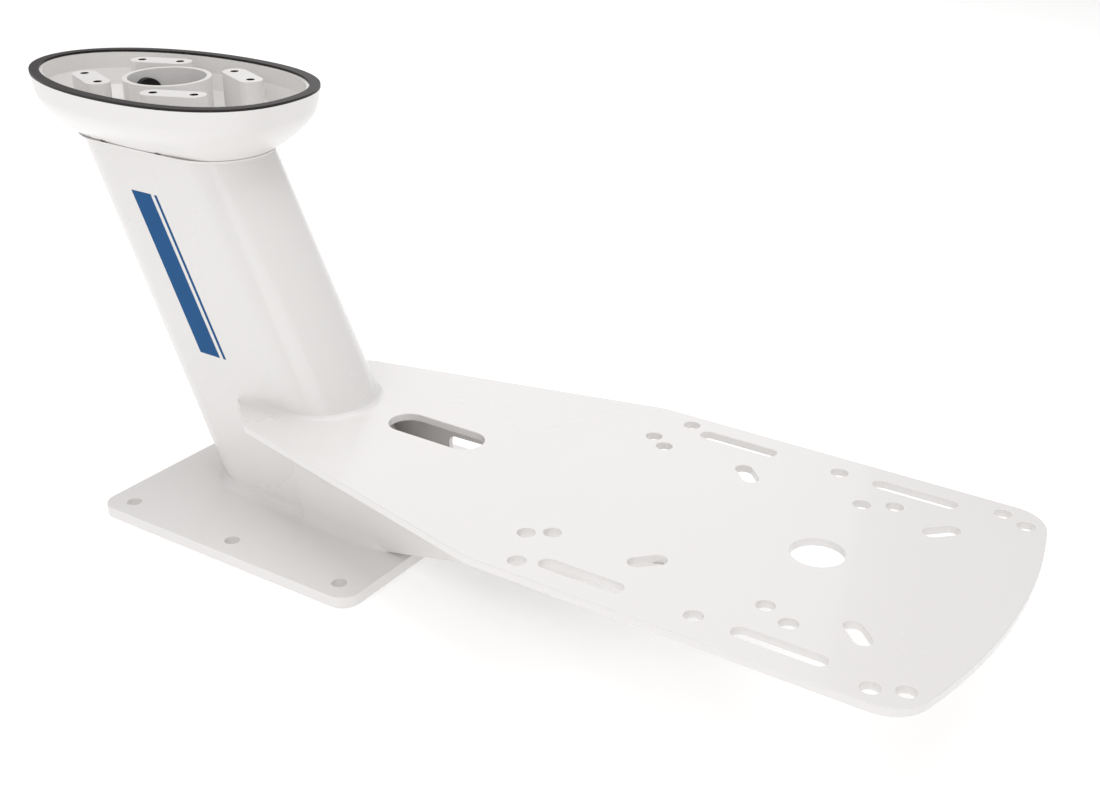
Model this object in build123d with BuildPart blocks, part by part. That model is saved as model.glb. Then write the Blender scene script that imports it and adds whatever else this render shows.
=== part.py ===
"""Twin-top marine mount: a raked hollow mast with a cast bowl for one antenna, and a drilled radar platform.

Millimetres, +Z up, +X towards the free end of the platform. The origin is the centre of the base plate's
underside, where the mount meets the boat.
"""

from build123d import *
import math
import os

os.makedirs("parts", exist_ok=True)

# Base plate
base_length = 268.0
base_width = 255.4
base_thickness = 9.5
base_corner_radius = 15.0
base_hole_pitch = 112.0
base_hole_row_spacing = 218.8
base_hole_radius = 6.0
base_cable_slot_length = 100.0
base_cable_slot_width = 52.0
edge_round = 0.65

# Mast tube, an oblong section that leans aft and narrows slightly
mast_height = 284.5
mast_rake = math.tan(math.radians(26.46))
mast_foot_x = 4.1
mast_foot_radius = 46.2
mast_head_radius = 43.9
mast_foot_half_flat = 49.2
mast_head_half_flat = 47.1
mast_wall = 4.0

# Radar platform
platform_underside = 91.15
platform_thickness = 6.35
platform_half_width = 140.0
platform_front = 588.0
platform_front_radius = 460.0
platform_corner_radius = 30.0
platform_kink_x = 253.5
platform_kink_radius = 60.0
platform_tail_radius = 20.0
platform_tail_x = -6.5
platform_tail_half_width = 79.0
platform_tail_slope = 0.827
platform_tail_inset = 10.0
radar_hole_radius = 6.35
# Centre x, spacing along x and spacing along y of each rectangle of four holes
hole_rectangles = [
    (370.8, 199.5, 181.0),
    (367.8, 163.5, 160.0),
    (412.8, 252.6, 249.6),
    (487.5, 141.5, 233.0),
]
long_slot_centres = [332.0, 476.0]
long_slot_travel = 52.0
long_slot_row_spacing = 232.6
short_slot_centre_x = 435.3
short_slot_circle_radius = 107.0
short_slot_travel = 15.0
centre_hole_x = 450.5
centre_hole_radius = 19.05
cable_slot_x = 124.2
cable_slot_length = 87.0
cable_slot_width = 32.0

# Gusset webs, one each side, spreading slightly towards the free end
web_thickness = 5.0
web_stand_off = 3.8
web_spread = 0.035
web_seam_foot_x = 24.9
web_seam_head_x = 9.8
web_foot_end_x = 113.5
web_tip_x = 463.0
web_tip_depth = 0.8
web_opening_x = 129.5
web_opening_length = 58.0
web_opening_height = 32.0
web_opening_drop = 40.0
web_opening_corner_radius = 6.0

# Cast bowl on the mast head. An oval is longer aft of its widest place than fore of it, and its fore
# end is squarer: the squareness of an ellipse is 2.
bowl_rise = 35.0
bowl_band_height = 13.0
bowl_band_share = 0.93
bowl_fullness = 1.6
bowl_foot_lap = 2.5
bowl_wall = 6.0
bowl_floor_rise = 11.0
bowl_floor_thickness = 6.0
bowl_knuckle_rise = 22.0
# Rises of the bowl's outer sections, as shares of bowl_rise
bowl_levels = [0.0, 0.12, 0.3, 0.55, 0.8, 1.0]
outline_points = 32
bore_offset_x = -4.7
rim_widest_x = 11.7
rim_half_width = 85.3
rim_fore = 124.7
rim_aft = 147.5
rim_fore_squareness = 2.35
rim_aft_squareness = 2.0
boss_radius = 10.0
boss_outer_hole = (62.0, 31.2)
boss_inner_hole = (31.2, 44.8)
boss_hole_radius = 3.4
boss_hole_depth = 22.0
boss_stand = 1.0

# Cable tube in the middle of the bowl, and the rubber grommet in its wall
cable_tube_inner_radius = 31.5
cable_tube_outer_radius = 35.5
grommet_radius = 11.5
grommet_flange_radius = 13.5
grommet_flange = 2.0
grommet_bore_radius = 6.0
grommet_rise = 18.5
grommet_azimuth = 173.0

# Rubber gasket under the antenna, and the bowl's lip just inside it
gasket_thickness = 2.0
gasket_width = 8.2
lip_width = 2.5

# Weld beads
mast_foot_weld_leg = 9.0
platform_weld_leg = 5.0
bowl_weld_leg = 3.5
web_foot_weld_leg = 8.0
web_seam_weld_leg = 9.0
web_head_weld_leg = 5.0
web_top_weld_end_x = 425.0
tube_weld_leg = 2.5
weld_toe = 0.3
weld_levels = 5
web_weld_taper = 12.0
web_weld_end_leg = 1.0
platform_weld_end_gap = 1.5

# Heights and places that follow from the sizes above
mast_head_z = base_thickness + mast_height
platform_top = platform_underside + platform_thickness
bowl_band_z = mast_head_z + bowl_rise
bowl_top = bowl_band_z + bowl_band_height
bowl_floor = mast_head_z + bowl_floor_rise
bore_x = mast_foot_x - mast_rake * mast_height + bore_offset_x
boss_top = bowl_top + boss_stand
lip_inset = gasket_width + lip_width
under_floor = bowl_floor - bowl_floor_thickness
front_corner_x = platform_front - platform_front_radius
front_corner_x += math.sqrt(platform_front_radius**2 - platform_half_width**2)
outline_angles = [2 * math.pi * (step + 0.5) / outline_points for step in range(outline_points)]
same_place = 1.0


def mast_fraction(z):
    """0 at the mast's foot, 1 at its head."""
    return (z - base_thickness) / mast_height


def mast_x(z):
    """Middle of the mast section at height z."""
    return mast_foot_x - mast_rake * (z - base_thickness)


def mast_radius(z):
    return mast_foot_radius + (mast_head_radius - mast_foot_radius) * mast_fraction(z)


def mast_half_flat(z):
    return mast_foot_half_flat + (mast_head_half_flat - mast_foot_half_flat) * mast_fraction(z)


def mast_section(z, grow=0.0):
    """Sketch of the mast's oblong section at height z, grown outwards by grow."""
    with BuildSketch(Plane.XY.offset(z), mode=Mode.PRIVATE) as section:
        with Locations((mast_x(z), 0)):
            SlotCenterToCenter(2 * mast_half_flat(z), 2 * (mast_radius(z) + grow))
    return section.sketch


def mast_solid(z_low, z_high, grow=0.0):
    """The mast as if it were not hollow, from z_low to z_high."""
    ends = [mast_section(z_low, grow), mast_section(z_high, grow)]
    return loft(ends, ruled=True, mode=Mode.PRIVATE)


def mast_weld(z, leg, direction):
    """Hollow-faced fillet bead round the mast on a face at height z, rising (1) or hanging (-1)."""
    sections = []
    for level in range(weld_levels):
        turn = math.radians(90 * level / (weld_levels - 1))
        rise = leg * (1 - math.cos(turn))
        grow = max(weld_toe, leg * (1 - math.sin(turn)))
        sections.append(mast_section(z + direction * rise, grow))
    bead = loft(sections, ruled=True, mode=Mode.PRIVATE)
    return bead - mast_core


def oval_point(angle, inset):
    """Point on the bowl's rim oval, moved inwards by inset."""
    cosine = math.cos(angle)
    sine = math.sin(angle)
    reach, squareness = (rim_fore, rim_fore_squareness) if cosine > 0 else (rim_aft, rim_aft_squareness)
    x = (reach - inset) * math.copysign(abs(cosine) ** (2 / squareness), cosine)
    y = (rim_half_width - inset) * math.copysign(abs(sine) ** (2 / squareness), sine)
    return bore_x + rim_widest_x + x, y


def mast_point(angle, z, grow):
    """Point on the mast's oblong section, moved outwards by grow."""
    radius = mast_radius(z) + grow
    flat = mast_half_flat(z)
    along = max(-flat, min(flat, (flat + radius) * math.cos(angle)))
    x = mast_x(z) + along + radius * math.cos(angle)
    return x, radius * math.sin(angle)


def outline_sketch(z, points):
    """Face inside a smooth closed curve through the points, at height z."""
    with BuildSketch(Plane.XY.offset(z), mode=Mode.PRIVATE) as outline:
        with BuildLine():
            Spline(*points, periodic=True)
        make_face()
    return outline.sketch


def oval_sketch(z, inset=0.0):
    """Rim oval at height z."""
    return outline_sketch(z, [oval_point(angle, inset) for angle in outline_angles])


def bowl_sketch(rise, inset=0.0):
    """Bowl section at a rise above its foot, where it's the mast's oblong; at the band it's nearly the rim."""
    fullness = bowl_band_share * (1 - (1 - rise / bowl_rise) ** bowl_fullness)
    points = []
    for angle in outline_angles:
        x_low, y_low = mast_point(angle, mast_head_z, bowl_foot_lap - inset)
        x_high, y_high = oval_point(angle, inset)
        points.append((x_low + fullness * (x_high - x_low), y_low + fullness * (y_high - y_low)))
    return outline_sketch(mast_head_z + rise, points)


mast_core = mast_solid(base_thickness, mast_head_z)
mast_bore = mast_solid(base_thickness, mast_head_z, -mast_wall)


def upright_edges(part, x):
    """Vertical edges of a part at place x."""
    edges = part.edges().filter_by(Axis.Z)
    return edges.filter_by_position(Axis.X, x - same_place, x + same_place)


# Base plate: bolts to the boat, with a cable opening inside the mast's foot
with BuildPart() as base_plate:
    with BuildSketch():
        RectangleRounded(base_length, base_width, base_corner_radius)
        with GridLocations(base_hole_pitch, base_hole_row_spacing, 3, 2):
            Circle(base_hole_radius, mode=Mode.SUBTRACT)
        with Locations((mast_foot_x, 0)):
            SlotOverall(base_cable_slot_length, base_cable_slot_width, mode=Mode.SUBTRACT)
    extrude(amount=base_thickness)
    fillet(base_plate.faces().sort_by(Axis.Z)[-1].edges(), edge_round)
    fillet(base_plate.faces().sort_by(Axis.Z)[0].outer_wire().edges(), edge_round)

# Mast tube: stands on the base plate and leans aft
with BuildPart() as mast_tube:
    add(mast_core)
    add(mast_bore, mode=Mode.SUBTRACT)

# Radar platform: flat plate notched round the front of the mast
tail_start_y = mast_radius(platform_top) - platform_tail_inset * platform_tail_slope
tail_start_x = platform_tail_x - (platform_tail_half_width - tail_start_y) / platform_tail_slope
with BuildPart() as radar_platform:
    with BuildSketch(Plane.XY.offset(platform_underside)):
        with BuildLine():
            side = Polyline(
                (tail_start_x, tail_start_y),
                (platform_tail_x, platform_tail_half_width),
                (platform_kink_x, platform_half_width),
                (front_corner_x, platform_half_width),
            )
            mirror(side, about=Plane.XZ)
            ThreePointArc(
                (front_corner_x, platform_half_width),
                (platform_front, 0),
                (front_corner_x, -platform_half_width),
            )
            Line((tail_start_x, tail_start_y), (tail_start_x, -tail_start_y))
        make_face()
    extrude(amount=platform_thickness)
    fillet(upright_edges(radar_platform, front_corner_x), platform_corner_radius)
    fillet(upright_edges(radar_platform, platform_kink_x), platform_kink_radius)
    fillet(upright_edges(radar_platform, platform_tail_x), platform_tail_radius)
    with BuildSketch(Plane.XY.offset(platform_underside)):
        for centre_x, spacing_x, spacing_y in hole_rectangles:
            with Locations((centre_x, 0)):
                with GridLocations(spacing_x, spacing_y, 2, 2):
                    Circle(radar_hole_radius)
        for centre_x in long_slot_centres:
            with Locations((centre_x, 0)):
                with GridLocations(0, long_slot_row_spacing, 1, 2):
                    SlotCenterToCenter(long_slot_travel, 2 * radar_hole_radius)
        with Locations((short_slot_centre_x, 0)):
            with PolarLocations(short_slot_circle_radius, 4, start_angle=45):
                SlotCenterToCenter(short_slot_travel, 2 * radar_hole_radius)
        with Locations((centre_hole_x, 0)):
            Circle(centre_hole_radius)
        with Locations((cable_slot_x, 0)):
            SlotOverall(cable_slot_length, cable_slot_width)
    extrude(amount=platform_thickness, mode=Mode.SUBTRACT)
    fillet(radar_platform.faces().sort_by(Axis.Z)[-1].edges(), edge_round)
    fillet(radar_platform.faces().sort_by(Axis.Z)[0].edges(), edge_round)
    add(mast_core, mode=Mode.SUBTRACT)


def web_plane(side):
    """Upright plane on the outer face of a web: x forward along it, y up, z towards -Y on both sides."""
    start_y = mast_foot_radius + web_stand_off - web_spread * web_seam_head_x
    along = (1, side * web_spread, 0)
    return Plane(origin=(0, side * start_y, 0), x_dir=along, z_dir=(side * web_spread, -1, 0))


def web_solid(side):
    """One web plate, before it is fitted to the mast."""
    with BuildPart() as web:
        with BuildSketch(web_plane(side)):
            with BuildLine():
                Polyline(
                    (web_seam_foot_x, base_thickness),
                    (web_foot_end_x, base_thickness),
                    (web_tip_x, platform_underside - web_tip_depth),
                    (web_tip_x, platform_underside),
                    (web_seam_head_x, platform_underside),
                    close=True,
                )
            make_face()
        extrude(amount=side * web_thickness)
        add(mast_core, mode=Mode.SUBTRACT)
    return web.part


# Gusset webs: stand on the base plate, lap the mast's flat sides and carry the platform
gusset_web_starboard = web_solid(-1)
port_plate = web_solid(1)
with BuildPart() as gusset_web_port:
    add(port_plate)
    with BuildSketch(web_plane(1)):
        with Locations((web_opening_x, platform_underside - web_opening_drop)):
            RectangleRounded(web_opening_length, web_opening_height, web_opening_corner_radius)
    extrude(amount=web_thickness, both=True, mode=Mode.SUBTRACT)

# Cast bowl: welded on the mast's head, open on top, with bosses for the antenna's bolts
outer_sections = [bowl_sketch(bowl_rise * level) for level in bowl_levels]
rim_section = oval_sketch(bowl_top)
cavity_sections = [
    bowl_sketch(bowl_floor_rise, bowl_wall),
    bowl_sketch(bowl_knuckle_rise, bowl_wall),
    oval_sketch(bowl_band_z, lip_inset),
    oval_sketch(bowl_top, lip_inset),
]
floor_opening = mast_solid(mast_head_z, under_floor, -mast_wall)
quadrants = [(1, 1), (1, -1), (-1, 1), (-1, -1)]
with BuildPart() as adapter_bowl:
    loft(outer_sections)
    loft([outer_sections[-1], rim_section], ruled=True)
    loft(cavity_sections, ruled=True, mode=Mode.SUBTRACT)
    add(floor_opening, mode=Mode.SUBTRACT)
    with BuildSketch(Plane.XY.offset(under_floor)):
        for along, across in quadrants:
            outer = Vector(bore_x + along * boss_outer_hole[0], across * boss_outer_hole[1])
            inner = Vector(bore_x + along * boss_inner_hole[0], across * boss_inner_hole[1])
            SlotCenterPoint((outer + inner) / 2, outer, 2 * boss_radius)
    extrude(amount=boss_top - under_floor)
    with BuildSketch(Plane.XY.offset(boss_top)):
        for along, across in quadrants:
            for hole in (boss_outer_hole, boss_inner_hole):
                with Locations((bore_x + along * hole[0], across * hole[1])):
                    Circle(boss_hole_radius)
    extrude(amount=-boss_hole_depth, mode=Mode.SUBTRACT)
    with BuildSketch(Plane.XY.offset(mast_head_z)):
        with Locations((bore_x, 0)):
            Circle(cable_tube_outer_radius)
    extrude(amount=boss_top - mast_head_z, mode=Mode.SUBTRACT)

# Cable tube: runs up from the mast's head through the bowl's floor, with a side hole for the grommet
grommet_angle = math.radians(grommet_azimuth)
grommet_plane = Plane(
    origin=(bore_x, 0, bowl_floor + grommet_rise),
    z_dir=(math.cos(grommet_angle), math.sin(grommet_angle), 0),
)
with BuildPart() as cable_tube:
    with BuildSketch(Plane.XY.offset(mast_head_z)):
        with Locations((bore_x, 0)):
            Circle(cable_tube_outer_radius)
            Circle(cable_tube_inner_radius, mode=Mode.SUBTRACT)
    extrude(amount=boss_top - mast_head_z)
    with BuildSketch(grommet_plane):
        Circle(grommet_radius)
    extrude(amount=2 * cable_tube_outer_radius, mode=Mode.SUBTRACT)

# Grommet: rubber, in the cable tube's side hole, with a flange each side of the wall
grommet_inner_face = math.sqrt(cable_tube_inner_radius**2 - grommet_flange_radius**2) - grommet_flange
with BuildPart() as cable_grommet:
    with BuildSketch(grommet_plane.offset(grommet_inner_face)):
        Circle(grommet_flange_radius)
        Circle(grommet_bore_radius, mode=Mode.SUBTRACT)
    extrude(amount=cable_tube_outer_radius + grommet_flange - grommet_inner_face)
    add(cable_tube.part, mode=Mode.SUBTRACT)

# Gasket: rubber, lies on the bowl's rim
gasket_inner_section = oval_sketch(bowl_top, gasket_width)
with BuildPart() as top_gasket:
    extrude(rim_section, amount=gasket_thickness)
    extrude(gasket_inner_section, amount=gasket_thickness, mode=Mode.SUBTRACT)

# Weld beads
webs = [gusset_web_starboard, gusset_web_port.part]
foot_ring = mast_weld(base_thickness, mast_foot_weld_leg, 1)
top_ring = mast_weld(platform_top, platform_weld_leg, 1)
under_ring = mast_weld(platform_underside, platform_weld_leg, -1)
head_ring = mast_weld(mast_head_z, bowl_weld_leg, -1)
with BuildPart() as mast_foot_weld:
    add(foot_ring)
    add(webs, mode=Mode.SUBTRACT)

with BuildPart() as platform_top_weld:
    add(top_ring)
    with BuildSketch(Plane.XY.offset(platform_top)):
        with BuildLine():
            Polyline(
                (tail_start_x + platform_weld_end_gap, 0),
                (tail_start_x + platform_weld_end_gap, tail_start_y),
                (platform_tail_x + platform_weld_end_gap, platform_tail_half_width),
                (platform_kink_x, platform_half_width),
                (platform_kink_x, -platform_half_width),
                (platform_tail_x + platform_weld_end_gap, -platform_tail_half_width),
                (tail_start_x + platform_weld_end_gap, -tail_start_y),
                close=True,
            )
        make_face()
    extrude(amount=platform_weld_leg, mode=Mode.INTERSECT)

# The bead under the platform runs round the mast's fore end, between the webs
under_fore_x = mast_x(platform_underside) + mast_half_flat(platform_underside)
under_reach = mast_foot_radius + platform_weld_leg
with BuildPart() as platform_under_weld:
    add(under_ring)
    with BuildSketch(Plane.XY.offset(platform_underside)):
        with Locations((under_fore_x, 0)):
            Rectangle(under_reach, 2 * mast_foot_radius, align=(Align.MIN, Align.CENTER))
    extrude(amount=-platform_weld_leg, mode=Mode.INTERSECT)
    add(webs, mode=Mode.SUBTRACT)

with BuildPart() as bowl_weld:
    add(head_ring)


def web_bead(side, direction, z, stations):
    """Hollow-faced bead along a web's outer face, on a face at height z, rising (1) or hanging (-1).

    The stations are pairs of a place along the web and the bead's leg there.
    """
    face = web_plane(side)
    sections = []
    for place, leg in stations:
        origin = face.from_local_coords(Vector(place, z, 0))
        across = Plane(origin=origin, x_dir=(0, 0, 1), z_dir=face.x_dir)
        hollow = leg * (1 - math.cos(math.radians(45)))
        with BuildSketch(across, mode=Mode.PRIVATE) as corner:
            with BuildLine():
                Line((0, 0), (direction * leg, 0))
                ThreePointArc((direction * leg, 0), (direction * hollow, -side * hollow), (0, -side * leg))
                Line((0, -side * leg), (0, 0))
            make_face()
        sections.append(corner.sketch)
    return loft(sections, ruled=True, mode=Mode.PRIVATE)


def seam_triangle(side, z):
    """Section at height z of the bead in the corner between the mast's flat side and a web's rear edge."""
    seam_share = (z - base_thickness) / (platform_underside - base_thickness)
    seam_x = web_seam_foot_x + seam_share * (web_seam_head_x - web_seam_foot_x)
    outer_y = side * (mast_foot_radius + web_stand_off + web_spread * (seam_x - web_seam_head_x))
    inner_y = side * (mast_head_radius - mast_wall / 2)
    with BuildSketch(Plane.XY.offset(z), mode=Mode.PRIVATE) as corner:
        with BuildLine():
            Polyline((seam_x, inner_y), (seam_x, outer_y), (seam_x - web_seam_weld_leg, inner_y), close=True)
        make_face()
    return corner.sketch


# Beads along each web: to the base plate, to the platform and to the mast's side
web_welds = {}
for side_name, side, web in (("starboard", -1, webs[0]), ("port", 1, webs[1])):
    foot_stations = [
        (web_seam_foot_x, web_foot_weld_leg - web_stand_off / 2),
        (web_seam_foot_x + web_weld_taper, web_foot_weld_leg),
        (web_foot_end_x - web_weld_taper, web_foot_weld_leg),
        (web_foot_end_x, web_weld_end_leg),
    ]
    foot_bead = web_bead(side, 1, base_thickness, foot_stations)
    web_welds[f"web_foot_weld_{side_name}"] = foot_bead - mast_foot_weld.part - mast_core
    head_stations = [
        (web_seam_head_x, web_head_weld_leg),
        (web_top_weld_end_x - web_weld_taper, web_head_weld_leg),
        (web_top_weld_end_x, web_weld_end_leg),
    ]
    head_bead = web_bead(side, -1, platform_underside, head_stations)
    web_welds[f"web_platform_weld_{side_name}"] = head_bead - platform_under_weld.part
    seam_ends = [seam_triangle(side, base_thickness), seam_triangle(side, platform_underside)]
    seam_bead = loft(seam_ends, ruled=True) - mast_core - web - mast_foot_weld.part
    web_welds[f"web_seam_weld_{side_name}"] = seam_bead - head_bead - foot_bead

# Ring bead round the cable tube where it passes the bowl's floor
with BuildPart() as cable_tube_weld:
    with BuildSketch(Plane.XZ):
        with BuildLine():
            Polyline(
                (cable_tube_outer_radius, bowl_floor),
                (cable_tube_outer_radius + tube_weld_leg, bowl_floor),
                (cable_tube_outer_radius, bowl_floor + tube_weld_leg),
                close=True,
            )
        make_face()
    revolve(axis=Axis.Z)

pieces = {
    "base_plate": base_plate.part,
    "mast_tube": mast_tube.part,
    "radar_platform": radar_platform.part,
    "gusset_web_starboard": gusset_web_starboard,
    "gusset_web_port": gusset_web_port.part,
    "adapter_bowl": adapter_bowl.part,
    "cable_tube": cable_tube.part,
    "cable_grommet": cable_grommet.part,
    "top_gasket": top_gasket.part,
    "mast_foot_weld": mast_foot_weld.part,
    "platform_top_weld": platform_top_weld.part,
    "platform_under_weld": platform_under_weld.part,
    "bowl_weld": bowl_weld.part,
    "cable_tube_weld": cable_tube_weld.part.moved(Location((bore_x, 0, 0))),
}
pieces.update(web_welds)
for name, piece in pieces.items():
    piece.label = name
    export_step(piece, f"parts/{name}.step")
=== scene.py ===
"""A white powder-coated twin-top marine mount in a plain pale studio."""
import bpy
import math
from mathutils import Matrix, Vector


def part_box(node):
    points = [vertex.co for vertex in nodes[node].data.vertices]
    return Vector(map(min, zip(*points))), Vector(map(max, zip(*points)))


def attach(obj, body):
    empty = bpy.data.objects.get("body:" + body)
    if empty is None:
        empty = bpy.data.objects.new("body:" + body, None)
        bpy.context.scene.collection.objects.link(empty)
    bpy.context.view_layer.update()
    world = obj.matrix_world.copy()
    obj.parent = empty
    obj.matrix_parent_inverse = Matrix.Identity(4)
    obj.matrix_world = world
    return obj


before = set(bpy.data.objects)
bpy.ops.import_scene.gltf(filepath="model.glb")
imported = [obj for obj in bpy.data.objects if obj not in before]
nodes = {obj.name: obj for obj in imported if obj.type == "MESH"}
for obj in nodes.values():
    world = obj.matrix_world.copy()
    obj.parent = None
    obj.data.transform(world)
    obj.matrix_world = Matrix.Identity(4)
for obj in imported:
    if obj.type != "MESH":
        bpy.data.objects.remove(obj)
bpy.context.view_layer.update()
scene = bpy.context.scene


# ---------------------------------------------------------------- camera
# A medium-long lens stands forward and to starboard of the mount, a little above the bowl,
# and looks down along it.
camera_data = bpy.data.cameras.new("studio_camera")
camera_data.sensor_width = 36.0
camera_data.lens = 48.47
camera_data.shift_x = 0.0045
camera_data.clip_start = 0.05
camera_data.clip_end = 60.0
camera = bpy.data.objects.new("studio_camera", camera_data)
camera.location = (0.7672, -0.8329, 0.6233)
camera.rotation_euler = (math.radians(64.793), math.radians(-0.648), math.radians(33.291))
scene.collection.objects.link(camera)
scene.camera = camera


# ---------------------------------------------------------------- floor and light
# A seamless pale paper floor that the base plate stands on, faintly lit from below, in an even
# white room with a large overhead softbox, weaker ones to starboard and forward, and one behind.
def link(tree, source, target):
    tree.links.new(source, target)


def new_material(name):
    """Empty node material with its Principled shader."""
    material = bpy.data.materials.new(name)
    material.use_nodes = True
    tree = material.node_tree
    return material, tree, tree.nodes["Principled BSDF"]


floor_half = 14.0
floor_mesh = bpy.data.meshes.new("paper_floor")
corners = [(-floor_half, -floor_half, 0), (floor_half, -floor_half, 0)]
corners += [(floor_half, floor_half, 0), (-floor_half, floor_half, 0)]
floor_mesh.from_pydata(corners, [], [(0, 1, 2, 3)])
paper_floor = bpy.data.objects.new("paper_floor", floor_mesh)
paper_floor.location.z = -0.0006
scene.collection.objects.link(paper_floor)

paper, paper_tree, paper_shader = new_material("seamless_paper")
paper_shader.inputs["Roughness"].default_value = 0.95
paper_shader.inputs["Specular IOR Level"].default_value = 0.1
paper_shader.inputs["Emission Color"].default_value = (1.0, 1.0, 1.0, 1)
paper_shader.inputs["Emission Strength"].default_value = 0.3
fibre = paper_tree.nodes.new("ShaderNodeTexNoise")
fibre.inputs["Scale"].default_value = 3.0
fibre.inputs["Detail"].default_value = 6.0
tone = paper_tree.nodes.new("ShaderNodeValToRGB")
tone.color_ramp.elements[0].color = (0.93, 0.93, 0.93, 1)
tone.color_ramp.elements[1].color = (0.96, 0.96, 0.96, 1)
link(paper_tree, fibre.outputs["Fac"], tone.inputs["Fac"])
link(paper_tree, tone.outputs["Color"], paper_shader.inputs["Base Color"])
floor_mesh.materials.append(paper)

room = bpy.data.worlds.new("white_room")
room.use_nodes = True
scene.world = room
room_light = room.node_tree.nodes["Background"]
room_light.inputs["Color"].default_value = (1.0, 0.99, 0.985, 1)
room_light.inputs["Strength"].default_value = 0.53
scene.view_settings.view_transform = "Standard"


def soft_light(name, place, target, width, height, power):
    """Rectangular softbox at a place, aimed at a target."""
    data = bpy.data.lights.new(name, "AREA")
    data.shape = "RECTANGLE"
    data.size = width
    data.size_y = height
    data.energy = power
    light = bpy.data.objects.new(name, data)
    light.location = place
    light.rotation_euler = (Vector(target) - Vector(place)).to_track_quat("-Z", "Y").to_euler()
    scene.collection.objects.link(light)
    return light


aim = (0.1, 0.0, 0.15)
soft_light("overhead_softbox", (0.2, 0.3, 2.4), aim, 2.4, 2.2, 27.0)
soft_light("starboard_softbox", (0.2, -1.9, 1.9), aim, 1.8, 1.8, 8.0)
soft_light("forward_softbox", (1.5, -2.1, 0.6), aim, 1.6, 1.1, 6.0)
soft_light("backdrop_softbox", (-1.4, 2.4, 1.6), (-1.1, 0.0, 0.4), 2.0, 1.8, 8.0)


# ---------------------------------------------------------------- base plate
# Thick aluminium plate, drilled round its edge, that bolts to the boat. Like all the metal here it
# is blasted, primed and powder coated gloss white after welding, so its edges are softly rounded.
def powder_coat(name, colour, peel_size, peel_height, roughness):
    """Baked gloss powder coat: fine orange peel over a faint cloudiness in tone and gloss."""
    material, tree, shader = new_material(name)
    place = tree.nodes.new("ShaderNodeTexCoord")
    cloud = tree.nodes.new("ShaderNodeTexNoise")
    cloud.inputs["Scale"].default_value = 7.0
    cloud.inputs["Detail"].default_value = 4.0
    link(tree, place.outputs["Object"], cloud.inputs["Vector"])
    shade = tree.nodes.new("ShaderNodeValToRGB")
    shade.color_ramp.interpolation = "EASE"
    shade.color_ramp.elements[0].position = 0.1
    shade.color_ramp.elements[1].position = 0.9
    shade.color_ramp.elements[0].color = (colour[0] * 0.985, colour[1] * 0.983, colour[2] * 0.98, 1)
    shade.color_ramp.elements[1].color = (*colour, 1)
    link(tree, cloud.outputs["Fac"], shade.inputs["Fac"])
    link(tree, shade.outputs["Color"], shader.inputs["Base Color"])
    gloss = tree.nodes.new("ShaderNodeMapRange")
    gloss.inputs["To Min"].default_value = roughness - 0.03
    gloss.inputs["To Max"].default_value = roughness + 0.03
    link(tree, cloud.outputs["Fac"], gloss.inputs["Value"])
    link(tree, gloss.outputs["Result"], shader.inputs["Roughness"])
    peel = tree.nodes.new("ShaderNodeTexNoise")
    peel.inputs["Scale"].default_value = 1.0 / peel_size
    peel.inputs["Detail"].default_value = 2.0
    peel.inputs["Roughness"].default_value = 0.45
    link(tree, place.outputs["Object"], peel.inputs["Vector"])
    bump = tree.nodes.new("ShaderNodeBump")
    bump.inputs["Strength"].default_value = 1.0
    bump.inputs["Distance"].default_value = peel_height
    link(tree, peel.outputs["Fac"], bump.inputs["Height"])
    link(tree, bump.outputs["Normal"], shader.inputs["Normal"])
    shader.inputs["IOR"].default_value = 1.5
    shader.inputs["Coat Weight"].default_value = 0.3
    shader.inputs["Coat Roughness"].default_value = 0.06
    return material


def finish_node(node, material):
    """Give a CAD piece its finish."""
    data = nodes[node].data
    data.materials.clear()
    data.materials.append(material)


white = (0.825, 0.81, 0.8)
plate_coat = powder_coat("powder_coat_on_plate", white, 0.0022, 0.000012, 0.3)
finish_node("base_plate", plate_coat)


# ---------------------------------------------------------------- mast tube
# Oblong aluminium tube with flat sides and round nose and tail, cut level at both ends so that it
# leans aft, and welded to the plate below and the bowl above.
finish_node("mast_tube", powder_coat("powder_coat_on_tube", white, 0.0026, 0.000014, 0.27))


# ---------------------------------------------------------------- radar platform
# Quarter-inch aluminium sheet, cut by water jet with its bolt holes, slots and cable slot, notched
# round the mast and welded to it and to the webs.
finish_node("radar_platform", powder_coat("powder_coat_on_platform", white, 0.0022, 0.000012, 0.28))


# ---------------------------------------------------------------- gusset webs
# Two upright sheets that stand on the base plate, lap the mast's flat sides and carry the platform.
# The port web has a rounded opening for the radar's cable.
for node in ("gusset_web_starboard", "gusset_web_port"):
    finish_node(node, plate_coat)


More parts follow.
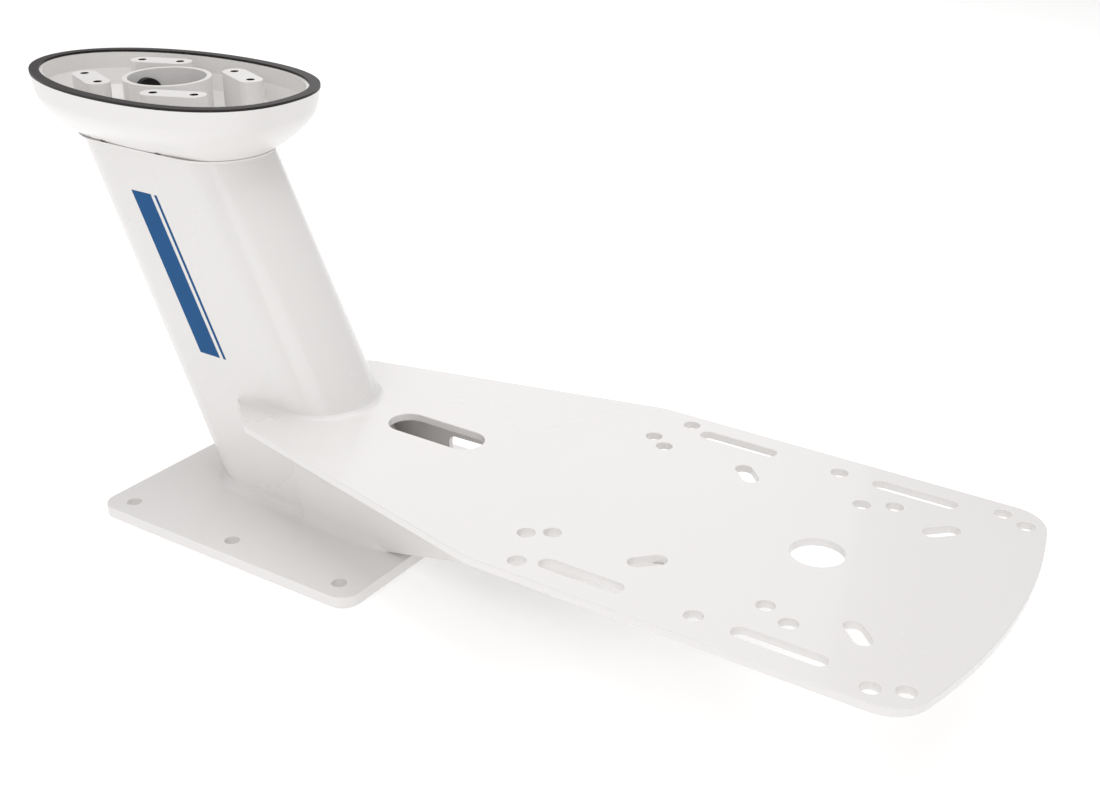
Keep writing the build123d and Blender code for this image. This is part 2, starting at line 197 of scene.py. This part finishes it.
# ---------------------------------------------------------------- bowl and cable tube
# Sand-cast aluminium bowl with bolt bosses, coated inside and out, so the cast skin shows faintly
# through the coat. The cable tube is turned pipe, welded in its floor.
def paint_shade_in_bores(material, centres, radius):
    """Paint near-black shade inside the upright bores, which are tapped after coating; it stands in for
    the shade deep in the holes.
    """
    tree = material.node_tree
    shader = tree.nodes["Principled BSDF"]
    place = tree.nodes.new("ShaderNodeTexCoord")
    flat = tree.nodes.new("ShaderNodeVectorMath")
    flat.operation = "MULTIPLY"
    flat.inputs[1].default_value = (1, 1, 0)
    link(tree, place.outputs["Object"], flat.inputs[0])
    nearest = None
    for centre in centres:
        gap = tree.nodes.new("ShaderNodeVectorMath")
        gap.operation = "DISTANCE"
        gap.inputs[1].default_value = (*centre, 0)
        link(tree, flat.outputs["Vector"], gap.inputs[0])
        reach = gap.outputs["Value"]
        if nearest is not None:
            least = tree.nodes.new("ShaderNodeMath")
            least.operation = "MINIMUM"
            link(tree, nearest, least.inputs[0])
            link(tree, reach, least.inputs[1])
            reach = least.outputs["Value"]
        nearest = reach
    inside = tree.nodes.new("ShaderNodeMath")
    inside.operation = "LESS_THAN"
    inside.inputs[1].default_value = radius
    link(tree, nearest, inside.inputs[0])
    bore_shade = tree.nodes.new("ShaderNodeMixRGB")
    # Near-black painted shade for the insides of the bores.
    bore_shade.inputs["Color2"].default_value = (0.03, 0.022, 0.02, 1)
    link(tree, inside.outputs["Value"], bore_shade.inputs["Fac"])
    link(tree, shader.inputs["Base Color"].links[0].from_socket, bore_shade.inputs["Color1"])
    link(tree, bore_shade.outputs["Color"], shader.inputs["Base Color"])


casting_coat = powder_coat("powder_coat_on_casting", white, 0.0034, 0.00003, 0.33)
tube_low, tube_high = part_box("cable_tube")
bore_x = (tube_low.x + tube_high.x) / 2
boss_hole_layout = ((0.062, 0.0312), (0.0312, 0.0448))
boss_hole_reach = 0.00345
boss_holes = []
for along, across in boss_hole_layout:
    boss_holes += [(bore_x + along, across), (bore_x + along, -across)]
    boss_holes += [(bore_x - along, across), (bore_x - along, -across)]
# Paint shade into the bosses' tapped holes.
paint_shade_in_bores(casting_coat, boss_holes, boss_hole_reach)
finish_node("adapter_bowl", casting_coat)
finish_node("cable_tube", plate_coat)


# ---------------------------------------------------------------- gasket and grommet
# The gasket is moulded black rubber, laid on the bowl's rim to seal the antenna's foot. The
# grommet is the same rubber, pushed into the cable tube's side hole.
def black_rubber(name, colour, roughness):
    """Moulded rubber: fine pores and a dusty bloom."""
    material, tree, shader = new_material(name)
    place = tree.nodes.new("ShaderNodeTexCoord")
    bloom = tree.nodes.new("ShaderNodeTexNoise")
    bloom.inputs["Scale"].default_value = 45.0
    bloom.inputs["Detail"].default_value = 5.0
    link(tree, place.outputs["Object"], bloom.inputs["Vector"])
    shade = tree.nodes.new("ShaderNodeValToRGB")
    shade.color_ramp.elements[0].position = 0.35
    shade.color_ramp.elements[1].position = 0.75
    shade.color_ramp.elements[0].color = (*colour, 1)
    shade.color_ramp.elements[1].color = (colour[0] * 1.5, colour[1] * 1.45, colour[2] * 1.4, 1)
    link(tree, bloom.outputs["Fac"], shade.inputs["Fac"])
    link(tree, shade.outputs["Color"], shader.inputs["Base Color"])
    pores = tree.nodes.new("ShaderNodeTexNoise")
    pores.inputs["Scale"].default_value = 1400.0
    pores.inputs["Detail"].default_value = 3.0
    link(tree, place.outputs["Object"], pores.inputs["Vector"])
    bump = tree.nodes.new("ShaderNodeBump")
    bump.inputs["Strength"].default_value = 1.0
    bump.inputs["Distance"].default_value = 0.00004
    link(tree, pores.outputs["Fac"], bump.inputs["Height"])
    link(tree, bump.outputs["Normal"], shader.inputs["Normal"])
    shader.inputs["Roughness"].default_value = roughness
    shader.inputs["Specular IOR Level"].default_value = 0.25
    return material


finish_node("top_gasket", black_rubber("gasket_rubber", (0.013, 0.0105, 0.0105), 0.42))
finish_node("cable_grommet", black_rubber("grommet_rubber", (0.012, 0.012, 0.013), 0.35))


# ---------------------------------------------------------------- weld beads
# Fillet beads laid by hand, dressed smooth and coated over: only a trace of the ripples shows.
mast_nose_radius = 0.05
ripple_length = 0.0036


def bead_coat(name, around=None):
    """Powder coat over a weld bead, with ripples along X or round an upright line at x = around."""
    material = powder_coat(name, white, 0.003, 0.000016, 0.3)
    tree = material.node_tree
    shader = tree.nodes["Principled BSDF"]
    place = tree.nodes.new("ShaderNodeTexCoord")
    parts = tree.nodes.new("ShaderNodeSeparateXYZ")
    link(tree, place.outputs["Object"], parts.inputs["Vector"])
    along = parts.outputs["X"]
    if around is not None:
        offset = tree.nodes.new("ShaderNodeMath")
        offset.operation = "SUBTRACT"
        offset.inputs[1].default_value = around
        link(tree, parts.outputs["X"], offset.inputs[0])
        angle = tree.nodes.new("ShaderNodeMath")
        angle.operation = "ARCTAN2"
        link(tree, parts.outputs["Y"], angle.inputs[0])
        link(tree, offset.outputs["Value"], angle.inputs[1])
        bead_radius = tree.nodes.new("ShaderNodeMath")
        bead_radius.operation = "MULTIPLY"
        bead_radius.inputs[1].default_value = mast_nose_radius
        link(tree, angle.outputs["Value"], bead_radius.inputs[0])
        along = bead_radius.outputs["Value"]
    turns = tree.nodes.new("ShaderNodeMath")
    turns.operation = "MULTIPLY"
    turns.inputs[1].default_value = 2 * math.pi / ripple_length
    link(tree, along, turns.inputs[0])
    ripple = tree.nodes.new("ShaderNodeMath")
    ripple.operation = "SINE"
    link(tree, turns.outputs["Value"], ripple.inputs[0])
    bump = tree.nodes.new("ShaderNodeBump")
    bump.inputs["Strength"].default_value = 1.0
    bump.inputs["Distance"].default_value = 0.000012
    old = shader.inputs["Normal"].links[0].from_socket
    link(tree, old, bump.inputs["Normal"])
    link(tree, ripple.outputs["Value"], bump.inputs["Height"])
    link(tree, bump.outputs["Normal"], shader.inputs["Normal"])
    return material


straight_bead = bead_coat("coated_straight_bead")
for node in nodes:
    if node.startswith("web_") and "weld" in node:
        finish_node(node, straight_bead)
for node in ("mast_foot_weld", "platform_top_weld", "platform_under_weld", "bowl_weld", "cable_tube_weld"):
    low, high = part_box(node)
    finish_node(node, bead_coat(f"coated_bead_of_{node}", (low.x + high.x) / 2))


# ---------------------------------------------------------------- mast stripe
# Plain blue vinyl stripe down the starboard flat of the mast, with a thin pinstripe beside it,
# cut from film and pressed on over the coat.
stripe_top = 0.258
stripe_bottom = 0.130
stripe_lean = math.tan(math.radians(26.46))
stripe_top_x = -0.1375
film_thickness = 0.00012
stripe_rows = 48
stripe_columns = 6
ray_start_y = -1.0
# Name, place along X from the stripe's middle, and width
stripes = (("mast_stripe", 0.0, 0.022), ("mast_pinstripe", 0.0165, 0.003))


def vinyl_stripe(name, offset_x, width, material):
    """Strip of film that follows the mast's side, with square ends."""
    tube = nodes["mast_tube"]
    points = []
    for row in range(stripe_rows + 1):
        z = stripe_top + (stripe_bottom - stripe_top) * row / stripe_rows
        middle = stripe_top_x + offset_x + (stripe_top - z) * stripe_lean
        for column in range(stripe_columns + 1):
            x = middle + width * (column / stripe_columns - 0.5)
            hit, place, normal, face = tube.ray_cast(Vector((x, ray_start_y, z)), Vector((0, 1, 0)))
            points.append(place + normal * film_thickness)
    stride = stripe_columns + 1
    quads = []
    for row in range(stripe_rows):
        for column in range(stripe_columns):
            start = row * stride + column
            quads.append((start, start + stride, start + stride + 1, start + 1))
    mesh = bpy.data.meshes.new(name)
    mesh.from_pydata(points, [], quads)
    for face in mesh.polygons:
        face.use_smooth = True
    mesh.materials.append(material)
    strip = bpy.data.objects.new(name, mesh)
    scene.collection.objects.link(strip)
    return strip


vinyl, vinyl_tree, vinyl_shader = new_material("blue_vinyl")
vinyl_shader.inputs["Roughness"].default_value = 0.25
vinyl_shader.inputs["Specular IOR Level"].default_value = 0.2
vinyl_place = vinyl_tree.nodes.new("ShaderNodeTexCoord")
vinyl_grain = vinyl_tree.nodes.new("ShaderNodeTexNoise")
vinyl_grain.inputs["Scale"].default_value = 30.0
vinyl_grain.inputs["Detail"].default_value = 4.0
link(vinyl_tree, vinyl_place.outputs["Object"], vinyl_grain.inputs["Vector"])
vinyl_tone = vinyl_tree.nodes.new("ShaderNodeValToRGB")
vinyl_tone.color_ramp.elements[0].color = (0.0, 0.075, 0.23, 1)
vinyl_tone.color_ramp.elements[1].color = (0.0, 0.085, 0.255, 1)
link(vinyl_tree, vinyl_grain.outputs["Fac"], vinyl_tone.inputs["Fac"])
link(vinyl_tree, vinyl_tone.outputs["Color"], vinyl_shader.inputs["Base Color"])
for name, offset_x, width in stripes:
    stripe = vinyl_stripe(name, offset_x, width, vinyl)
    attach(stripe, "root")
